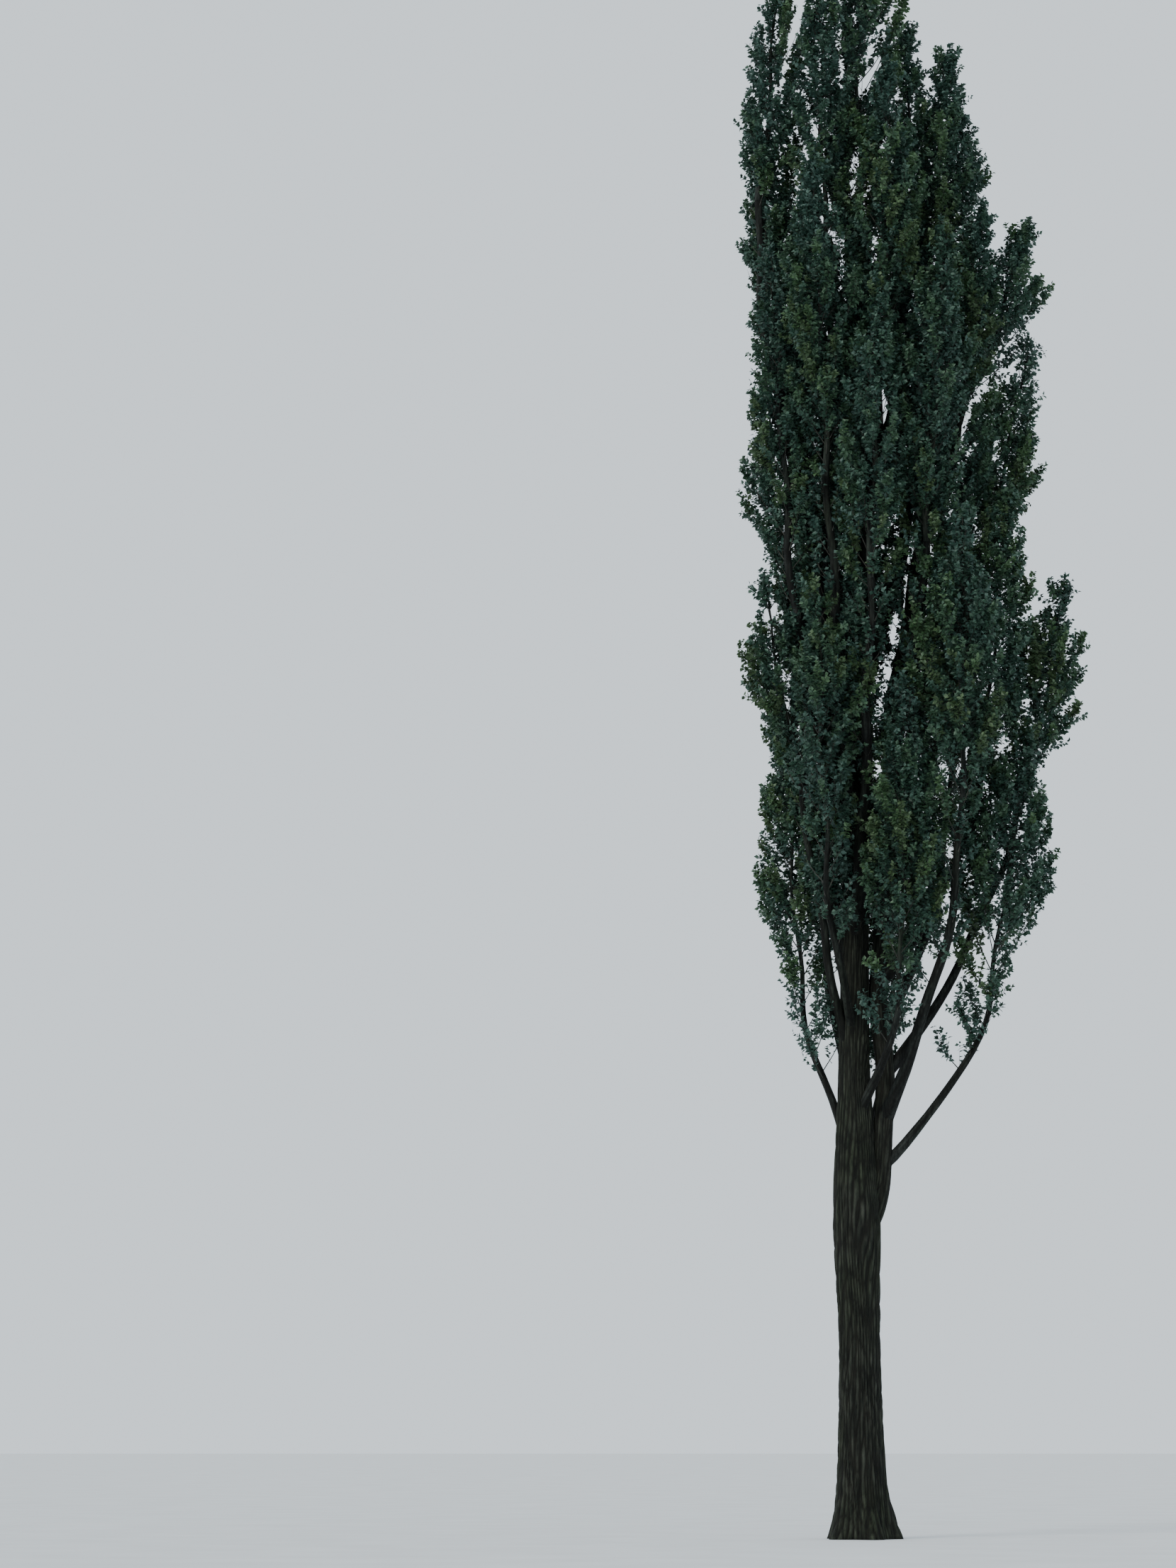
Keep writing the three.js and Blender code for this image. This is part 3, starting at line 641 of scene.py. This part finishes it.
def sprays_of(shoots, random):
    """The sprays that the shoots carry: their roots, directions and lengths."""
    lengths = np.linalg.norm(shoots[2] - shoots[0], axis=1)
    counts = np.clip(np.round(lengths / SPRAY_SPACING), LEAST_SPRAYS, MOST_SPRAYS).astype(int)
    which = np.repeat(np.arange(len(counts)), counts)
    rank = np.concatenate([np.arange(n) for n in counts])
    t = FIRST_SPRAY + (1 - FIRST_SPRAY) * ((rank + 1) / counts[which]) ** SPRAY_CROWDING
    curve = [points[which] for points in shoots]
    roots, along = on_curve(curve, t)
    angle = random.uniform(*SPRAY_ANGLE, len(t)) * np.where(t > END_SPRAY_FROM, END_SPRAY_ANGLE, 1.0)
    turn = rank * GOLDEN_ANGLE + random.uniform(0, 2 * math.pi, len(counts))[which]
    heading = unit(lean_out(along, angle, turn) + SPRAY_LIFT)
    long = SPRAY_LENGTH * random.uniform(*SPRAY_LENGTH_PLAY, len(t))
    long *= SPRAY_LENGTH_AT_ROOT - SPRAY_SHORTENING * t
    return roots, heading, long


def leaves_of(roots, heading, long, random):
    """The leaves that the sprays carry: places, directions from root to tip, sides, sizes and sprays."""
    count = len(roots) * LEAVES_ON_A_SPRAY
    spray = np.repeat(np.arange(len(roots)), LEAVES_ON_A_SPRAY)
    rank = np.tile(np.arange(LEAVES_ON_A_SPRAY), len(roots))
    along = (rank + random.uniform(*LEAF_PLACE_PLAY, count)) / LEAVES_ON_A_SPRAY
    places = roots[spray] + heading[spray] * (long[spray] * along)[:, None]
    turn = rank * GOLDEN_ANGLE + random.uniform(0, LEAF_TURN_PLAY, count)
    stalk = lean_out(heading[spray], random.uniform(*LEAF_ANGLE, count), turn)
    blade = unit(stalk + random.normal(0, LEAF_SCATTER, (count, 3)) + LEAF_DROOP)
    facing = stalk * FACING_OUT + random.normal(0, FACING_SCATTER, (count, 3)) + FACING_UP
    across = unit(np.cross(blade, facing))
    size = random.uniform(*LEAF_SIZE, count) * (1 - END_LEAF_SHRINK * along**3)
    return places, blade, across, size, spray


def leaf_blades(places, blade, across, size, outline):
    """The points and faces of the leaves."""
    upper = np.cross(across, blade)
    long = (size * LEAF_LENGTH)[:, None]
    wide = (size * LEAF_WIDTH)[:, None]
    corners = []
    for side, along, lift in outline:
        middle = places + blade * long * along
        corners.append(middle + across * wide * side + upper * wide * LEAF_FOLD * lift)
    points = np.stack(corners, axis=1).reshape(-1, 3)
    pattern = np.array([(0, corner, corner + 1) for corner in range(1, len(outline) - 1)])
    faces = (np.arange(len(places))[:, None, None] * len(outline) + pattern).reshape(-1, 3)
    return points, faces


def tapered_twigs(stations, radii, sides=3):
    """The points and faces of thin tubes. stations is a list of point arrays along them, and radii holds
    the radius of each tube at every station but the last, which is the tip, where the sides meet."""
    count = len(stations[0])
    rings = []
    for step, (points, radius) in enumerate(zip(stations[:-1], radii)):
        along = unit(stations[step + 1] - points)
        across, other = square_frames(along)
        wide = np.reshape(radius, (-1, 1))
        for side in range(sides):
            turn = 2 * math.pi * side / sides
            rings.append(points + (across * math.cos(turn) + other * math.sin(turn)) * wide)
    rings.append(stations[-1])
    per_twig = len(rings)
    points = np.stack(rings, axis=1).reshape(-1, 3)
    pattern = []
    for step in range(len(stations) - 2):
        for side in range(sides):
            a, b = step * sides + side, step * sides + (side + 1) % sides
            pattern += [(a, b, b + sides), (a, b + sides, a + sides)]
    last = (len(stations) - 2) * sides
    for side in range(sides):
        pattern.append((last + side, last + (side + 1) % sides, per_twig - 1))
    faces = (np.arange(count)[:, None, None] * per_twig + np.array(pattern)).reshape(-1, 3)
    return points, faces


def shoot_tubes(shoots):
    stations = [on_curve(shoots, np.full(len(shoots[0]), t))[0] for t in SHOOT_STATIONS]
    radii = [np.full(len(shoots[0]), SHOOT_RADIUS * share) for share in SHOOT_TAPER]
    return tapered_twigs(stations, radii)


def stem_tube(limb):
    """The stem of a mass: it carries the bough on to the tip."""
    ring, least_rings, sides = 0.3, 8, 7
    top = limb.top - TIP_GAP
    heights = np.linspace(limb.foot, top, max(least_rings, round((top - limb.foot) / ring)))
    line = limb.at(heights)
    stations = [line[i : i + 1] for i in range(len(heights))]
    radii = [limb.stem_radius(z) for z in heights[:-1]]
    return tapered_twigs(stations, radii, sides)


def joined(parts):
    """The parts as one set of points and faces."""
    points, faces, first = [], [], 0
    for part_points, part_faces in parts:
        points.append(part_points)
        faces.append(part_faces + first)
        first += len(part_points)
    return np.vstack(points), np.vstack(faces)


def mesh_piece(name, points, faces, materials, smooth=False):
    """An object from arrays of points and three-sided or four-sided faces."""
    corners = faces.shape[1]
    mesh = bpy.data.meshes.new(name)
    mesh.vertices.add(len(points))
    mesh.vertices.foreach_set("co", np.ascontiguousarray(points, dtype=np.float32).ravel())
    mesh.loops.add(faces.size)
    mesh.loops.foreach_set("vertex_index", faces.astype(np.int32).ravel())
    mesh.polygons.add(len(faces))
    mesh.polygons.foreach_set("loop_start", np.arange(0, faces.size, corners, dtype=np.int32))
    mesh.polygons.foreach_set("use_smooth", np.full(len(faces), smooth))
    mesh.update(calc_edges=True)
    for material in materials:
        mesh.materials.append(material)
    piece = bpy.data.objects.new(name, mesh)
    bpy.context.scene.collection.objects.link(piece)
    return piece


def wandering(turn, z, pace, random):
    """A smooth wandering number over the skin of a limb, between about -1 and 1."""
    total = np.zeros(np.broadcast(turn, z).shape)
    for _ in range(WANDER_TERMS):
        lobes = random.integers(*WANDER_LOBES)
        waves = random.uniform(*WANDER_WAVES) * pace
        total += np.sin(lobes * turn + waves * z + random.uniform(0, 2 * math.pi))
    return 2 * total / WANDER_TERMS


def furrows(turn, z, ridges, random):
    """From 0 on the ridges of the bark to 1 in its cracks. The ridges run upright, part and meet again."""
    ridge = 1.0
    for more, wander, pace in RIDGE_SETS:
        phase = 0.5 * (ridges + more) * turn + wander * wandering(turn, z, pace, random)
        ridge = np.minimum(ridge, np.abs(np.sin(phase)))
    wander = BREAK_WANDER * wandering(turn, z, BREAK_WANDER_PACE, random)
    breaks = np.abs(np.sin(BREAK_PACE * z + wander))
    return 1 - ridge**RIDGE_SHARPNESS * breaks**BREAK_DEPTH


def bark_piece(name, line, radius, heights, sides, skin, material):
    """A closed limb with bark relief: rings at the heights, each square to the middle line."""
    middle = line(heights)
    along = unit(np.gradient(middle, heights, axis=0))
    along = np.where((heights > heights[0])[:, None], along, (0.0, 0.0, 1.0))
    across = unit(np.array((1.0, 0.0, 0.0)) - along * along[:, 0:1])
    other = np.cross(along, across)
    turn = (2 * math.pi * np.arange(sides) / sides)[None, :]
    z = heights[:, None]
    relief, cracks = skin(turn, z)
    width = (radius(z) + relief)[..., None]
    ring = across[:, None, :] * np.cos(turn)[..., None] + other[:, None, :] * np.sin(turn)[..., None]
    points = (middle[:, None, :] + ring * width).reshape(-1, 3)
    points = np.vstack([points, middle[0], middle[-1]])
    piece = mesh_piece(name, points, tube_faces(len(heights), sides), [material], smooth=True)
    mark_cracks(piece, np.append(cracks.ravel(), (1.0, 1.0)))
    return piece


def tube_faces(rings, sides):
    """The faces of a tube of rings, closed at both ends on two middle points that follow the rings."""
    row, side = np.meshgrid(np.arange(rings - 1), np.arange(sides), indexing="ij")
    a = (row * sides + side).ravel()
    b = (row * sides + (side + 1) % sides).ravel()
    walls = np.stack([a, b, b + sides, a, b + sides, a + sides], axis=1).reshape(-1, 3)
    low, high = rings * sides, rings * sides + 1
    first = np.arange(sides)
    after = (first + 1) % sides
    last = (rings - 1) * sides
    foot = np.stack([after, first, np.full(sides, low)], axis=1)
    head = np.stack([last + first, last + after, np.full(sides, high)], axis=1)
    return np.vstack([walls, foot, head])


def mark_cracks(piece, cracks):
    """Tells the bark material how deep in a crack each point lies."""
    mark = piece.data.attributes.new("crack", "FLOAT", "POINT")
    mark.data.foreach_set("value", np.ascontiguousarray(cracks, dtype=np.float32))


def trunk_piece(material):
    low = np.arange(0, FINE_BARK_TOP, TRUNK_RING)
    high = np.linspace(FINE_BARK_TOP, TRUNK_TOP, round((TRUNK_TOP - FINE_BARK_TOP) / TRUNK_RING_HIGH))
    heights = np.concatenate([low, high])
    random = np.random.default_rng(TRUNK_BARK_SEED)

    def skin(turn, z):
        buttress = BUTTRESS_DEPTH * np.exp(-z / FLARE_HEIGHT) * np.cos(BUTTRESSES * turn)
        fluting = FLUTING * np.exp(-z / FLUTING_HEIGHT) * np.cos(BUTTRESSES * turn + FLUTING_TWIST * z)
        burrs = TRUNK_BURRS * wandering(turn, z, TRUNK_BURR_PACE, random)
        cracks = furrows(turn, z, TRUNK_RIDGES, random)
        depth = CRACK_DEPTH + FOOT_CRACK_DEPTH * np.exp(-z / CRACK_HEIGHT)
        relief = trunk_radius(z) * (buttress + fluting) + burrs - depth * (cracks - SKIN_LEVEL)
        return relief, cracks

    return bark_piece("trunk_bark", trunk_at, trunk_radius, heights, TRUNK_SIDES, skin, material)


def bough_piece(limb, material):
    is_second = limb is SECOND_STEM
    bark = SECOND_STEM_BARK if is_second else BOUGH_BARK
    rings = max(BOUGH_LEAST_RINGS, round((limb.foot - limb.fork) / bark["ring"]))
    heights = np.linspace(limb.fork, limb.foot, rings)
    random = np.random.default_rng(limb.seed + BOUGH_BARK_SEED)

    def skin(turn, z):
        burrs = BOUGH_BURRS * wandering(turn, z, BOUGH_BURR_PACE, random)
        cracks = furrows(turn, z, bark["ridges"], random)
        return limb.bough_radius(z) * (burrs - BOUGH_CRACK_DEPTH * (cracks - SKIN_LEVEL)), cracks

    name = "second_stem_bark" if is_second else limb.name + "_bark"
    return bark_piece(name, limb.at, limb.bough_radius, heights, bark["sides"], skin, material)


def color_ramp(tree, stops, source):
    ramp = tree.nodes.new("ShaderNodeValToRGB")
    points = ramp.color_ramp.elements
    while len(points) < len(stops):
        points.new(0.5)
    for point, (position, color) in zip(points, stops):
        point.position = position
        point.color = (*color, 1.0)
    tree.links.new(source, ramp.inputs["Fac"])
    return ramp.outputs["Color"]


def noise(tree, scale, stretch, detail, roughness=0.55):
    """Noise in the object's own space, drawn out along an axis by the stretch."""
    place = tree.nodes.new("ShaderNodeTexCoord")
    mapping = tree.nodes.new("ShaderNodeMapping")
    mapping.inputs["Scale"].default_value = stretch
    texture = tree.nodes.new("ShaderNodeTexNoise")
    texture.inputs["Scale"].default_value = scale
    texture.inputs["Detail"].default_value = detail
    texture.inputs["Roughness"].default_value = roughness
    tree.links.new(place.outputs["Object"], mapping.inputs["Vector"])
    tree.links.new(mapping.outputs["Vector"], texture.inputs["Vector"])
    return texture.outputs["Fac"]


def multiplied(tree, a, b):
    """One colour times another."""
    mix = tree.nodes.new("ShaderNodeMix")
    mix.data_type = "RGBA"
    mix.blend_type = "MULTIPLY"
    mix.inputs["Factor"].default_value = 1.0
    tree.links.new(a, mix.inputs["A"])
    tree.links.new(b, mix.inputs["B"])
    return mix.outputs["Result"]


def bump(tree, shader, height, strength, distance):
    node = tree.nodes.new("ShaderNodeBump")
    node.inputs["Strength"].default_value = strength
    node.inputs["Distance"].default_value = distance
    tree.links.new(height, node.inputs["Height"])
    tree.links.new(node.outputs["Normal"], shader.inputs["Normal"])


def new_material(name):
    material = bpy.data.materials.new(name)
    material.use_nodes = True
    return material, material.node_tree, material.node_tree.nodes["Principled BSDF"]


def bark_material(name, colors, grain):
    """Furrowed bark: dark in the cracks, partly its own darker colour there and partly painted shade,
    grey-brown on the ridges, with a little green algae.
    """
    material, tree, shader = new_material(name)
    fine = noise(tree, scale=grain, stretch=UPRIGHT_GRAIN, detail=6.0, roughness=0.65)
    patches = noise(tree, scale=1.1, stretch=(1.0, 1.0, 0.5), detail=3.0)
    plates = color_ramp(tree, tuple(zip(PLATE_STOPS, colors)), fine)
    algae = color_ramp(tree, ((0.45, WHITE), (0.7, ALGAE_TINT)), patches)
    # Painted shade and the bark's own darker colour: darker the deeper in a crack
    mark = tree.nodes.new("ShaderNodeAttribute")
    mark.attribute_name = "crack"
    depth = color_ramp(tree, ((0.1, WHITE), (0.75, CRACK_TINT_AND_SHADE)), mark.outputs["Fac"])
    color = multiplied(tree, multiplied(tree, plates, algae), depth)
    tree.links.new(color, shader.inputs["Base Color"])
    shader.inputs["Roughness"].default_value = 0.92
    shader.inputs["Specular IOR Level"].default_value = 0.25
    bump(tree, shader, fine, strength=0.9, distance=0.02)
    return material


def leaf_material(name, deep, fresh):
    """Leaves of one colour, with a little difference from leaf to leaf and finely mottled."""
    material, tree, shader = new_material(name)
    geometry = tree.nodes.new("ShaderNodeNewGeometry")
    blade = color_ramp(tree, ((0.1, deep), (0.9, fresh)), geometry.outputs["Random Per Island"])
    mottle = noise(tree, scale=38.0, stretch=EVEN_GRAIN, detail=2.0)
    shade = color_ramp(tree, ((0.35, MOTTLE_TINT), (0.65, WHITE)), mottle)
    tree.links.new(multiplied(tree, blade, shade), shader.inputs["Base Color"])
    shader.inputs["Roughness"].default_value = 0.55
    shader.inputs["Specular IOR Level"].default_value = 0.5
    bump(tree, shader, mottle, strength=0.25, distance=0.004)
    return material


def twig_material():
    material, tree, shader = new_material("twig_bark")
    grain = noise(tree, scale=30.0, stretch=UPRIGHT_GRAIN, detail=4.0)
    color = color_ramp(tree, tuple(zip((0.35, 0.65), TWIG_COLORS)), grain)
    tree.links.new(color, shader.inputs["Base Color"])
    shader.inputs["Roughness"].default_value = 0.8
    bump(tree, shader, grain, strength=0.4, distance=0.004)
    return material


def deal_colors(roots, limb, random):
    """The colour of each spray, with painted light and shade: painted shade towards the stem of the mass,
    painted light near its skin and higher up, and olive in a few patches as painted sunlit patches.
    """
    least = 0.15
    x, z = roots[:, 0], roots[:, 2]
    level = np.clip(z, limb.foot, limb.top)
    outward = level_distance(roots, limb.at(level)) / np.maximum(least, limb.reach(level))
    outward[z < limb.foot] = INNER_OUTWARD
    upward = np.clip((z - limb.foot) / (limb.top - limb.foot), 0, 1)
    patch = np.sin(PATCH_WAVES[0] * x + PATCH_WAVES[1] * z + limb.phase)
    # Painted light and shade: the score is higher farther out, higher up and in a patch
    lit = outward + UPWARD_WEIGHT * (upward - 0.5) + PATCH_WEIGHT * patch
    color = np.digitize(lit + random.normal(0, COLOR_PLAY, len(roots)), COLOR_STEPS)
    olive = patch + random.normal(0, OLIVE_PLAY, len(roots)) > OLIVE_FROM
    return np.where(olive & (color >= MID), OLIVE, color)


def sprays_in_place(limb, shoots, random):
    """The sprays of a limb that keep to its space, clear of the wood and of the openings."""
    roots, heading, long = sprays_of(shoots, random)
    tips = roots + heading * long[:, None]
    middles = 0.5 * (roots + tips)
    free = np.where(roots[:, 2] < limb.foot, in_crown(tips), in_own_space(middles, limb))
    free &= clear_of_wood(tips, LIMB_CLEARANCE) & ~left_open(middles)
    return roots[free], heading[free], long[free], tips[free]


def leaves_in_place(roots, heading, long, color, random):
    """The leaves on the sprays, and which of them stay."""
    middle = 0.6
    places, blade, across, size, spray = leaves_of(roots, heading, long, random)
    run = blade * (size * LEAF_LENGTH)[:, None]
    ends = places + run
    free = clear_of_wood(ends, LIMB_CLEARANCE) & clear_of_wood(places, LIMB_CLEARANCE)
    free &= in_box(ends) & ~left_open(places + middle * run)
    thinned = (color[spray] == DEEP) & (ends[:, 2] <= DEEP_TOP)
    free &= ~thinned | (random.uniform(0, 1, len(free)) < DEEP_SHARE)
    return places, blade, across, size, spray, free


def grow_foliage():
    """All the foliage, kind by kind: leaves by colour, shoots, sprays and the stems in the masses."""
    leaves = [[] for _ in LEAF_COLORS]
    shoot_parts, spray_parts, stem_parts = [], [], []
    for limb in LIMBS:
        random = np.random.default_rng(limb.seed)
        shoots = shoots_of(limb, random)
        inner = inner_shoots_of(limb, random)
        shoots = [np.vstack(pair) for pair in zip(shoots, inner)]
        shoot_parts.append(shoot_tubes(shoots))
        roots, heading, long, tips = sprays_in_place(limb, shoots, random)
        color = deal_colors(roots, limb, random)
        spray_parts.append(tapered_twigs([roots, tips], [np.full(len(roots), SPRAY_RADIUS)]))
        *grown, spray, free = leaves_in_place(roots, heading, long, color, random)
        for index, (_, _, _, outline) in enumerate(LEAF_COLORS):
            chosen = free & (color[spray] == index)
            leaves[index].append(leaf_blades(*(values[chosen] for values in grown), outline))
        stem_parts.append(stem_tube(limb))
    return leaves, shoot_parts, spray_parts, stem_parts


def leaf_pieces(name, points, faces, material):
    """The leaves of one colour, in as many pieces as the count of faces needs."""
    pieces = []
    count = 1 + len(faces) // MOST_FACES
    for number, share in enumerate(np.array_split(faces, count), start=1):
        used, index = np.unique(share, return_inverse=True)
        piece = mesh_piece(f"leaves_{name}_{number}", points[used], index.reshape(-1, 3), [material])
        pieces.append(piece)
    return pieces


def dress_foliage(stem_bark):
    nodes = [limb.name + "_foliage" for limb in LIMBS]
    leaves, shoot_parts, spray_parts, stem_parts = grow_foliage()
    pieces = []
    for (name, deep, fresh, _), parts in zip(LEAF_COLORS, leaves):
        pieces += leaf_pieces(name, *joined(parts), leaf_material("leaves_" + name, deep, fresh))
    twig = twig_material()
    for name, parts in (("shoots", shoot_parts), ("sprays", spray_parts)):
        pieces.append(mesh_piece(name, *joined(parts), [twig], smooth=True))
    stems = mesh_piece("stems_in_foliage", *joined(stem_parts), [stem_bark], smooth=True)
    pieces.append(stems)
    for piece in pieces:
        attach(piece, "root")
        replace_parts(piece, *nodes)


def dress_wood():
    """The bark of the trunk, the second stem and the boughs. Returns the material of the boughs."""
    trunk_bark = bark_material("furrowed_bark", FURROWED_SHADED_COLORS, FURROWED_GRAIN)
    # Painted shade: the boughs and the stems in the foliage get a darker bark for the shade inside the crown
    bough_bark = bark_material("smoother_bark", SMOOTHER_SHADED_COLORS, SMOOTHER_GRAIN)
    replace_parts(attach(trunk_piece(trunk_bark), "root"), "trunk")
    for limb in LIMBS:
        if limb is SECOND_STEM:
            piece = bough_piece(limb, trunk_bark)
            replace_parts(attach(piece, "root"), "second_stem")
        elif not limb.is_leader:
            piece = bough_piece(limb, bough_bark)
            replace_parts(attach(piece, "root"), limb.name + "_bough")
    return bough_bark


def floor():
    material, tree, shader = new_material("pale_floor")
    grain = noise(tree, scale=0.6, stretch=EVEN_GRAIN, detail=4.0)
    color = color_ramp(tree, tuple(zip((0.3, 0.7), FLOOR_COLORS)), grain)
    tree.links.new(color, shader.inputs["Base Color"])
    shader.inputs["Roughness"].default_value = 0.9
    corners = FLOOR_REACH * np.array(((-1, -1, 0), (1, -1, 0), (1, 1, 0), (-1, 1, 0)))
    mesh_piece("floor", corners, np.array(((0, 1, 2, 3),)), [material])


def camera():
    data = bpy.data.cameras.new("camera")
    data.sensor_width = SENSOR_WIDTH
    data.lens = CAMERA_LENS
    data.clip_end = FARTHEST
    eye = bpy.data.objects.new("camera", data)
    eye.location = CAMERA
    eye.rotation_euler = (math.radians(CAMERA_PITCH), 0, 0)
    bpy.context.scene.collection.objects.link(eye)
    bpy.context.scene.camera = eye


def lights():
    """A pale sky all round, and one broad soft light from the upper left in front."""
    world = bpy.data.worlds.new("sky")
    world.use_nodes = True
    world.node_tree.nodes["Background"].inputs["Color"].default_value = SKY_COLOR
    world.node_tree.nodes["Background"].inputs["Strength"].default_value = SKY_STRENGTH
    bpy.context.scene.world = world
    data = bpy.data.lights.new("key", "SUN")
    data.energy = SUN_STRENGTH
    data.angle = math.radians(SUN_ANGLE)
    data.color = SUN_COLOR
    key = bpy.data.objects.new("key", data)
    key.rotation_euler = [math.radians(turn) for turn in SUN_TURN]
    bpy.context.scene.collection.objects.link(key)


camera()
lights()
floor()
dress_foliage(dress_wood())
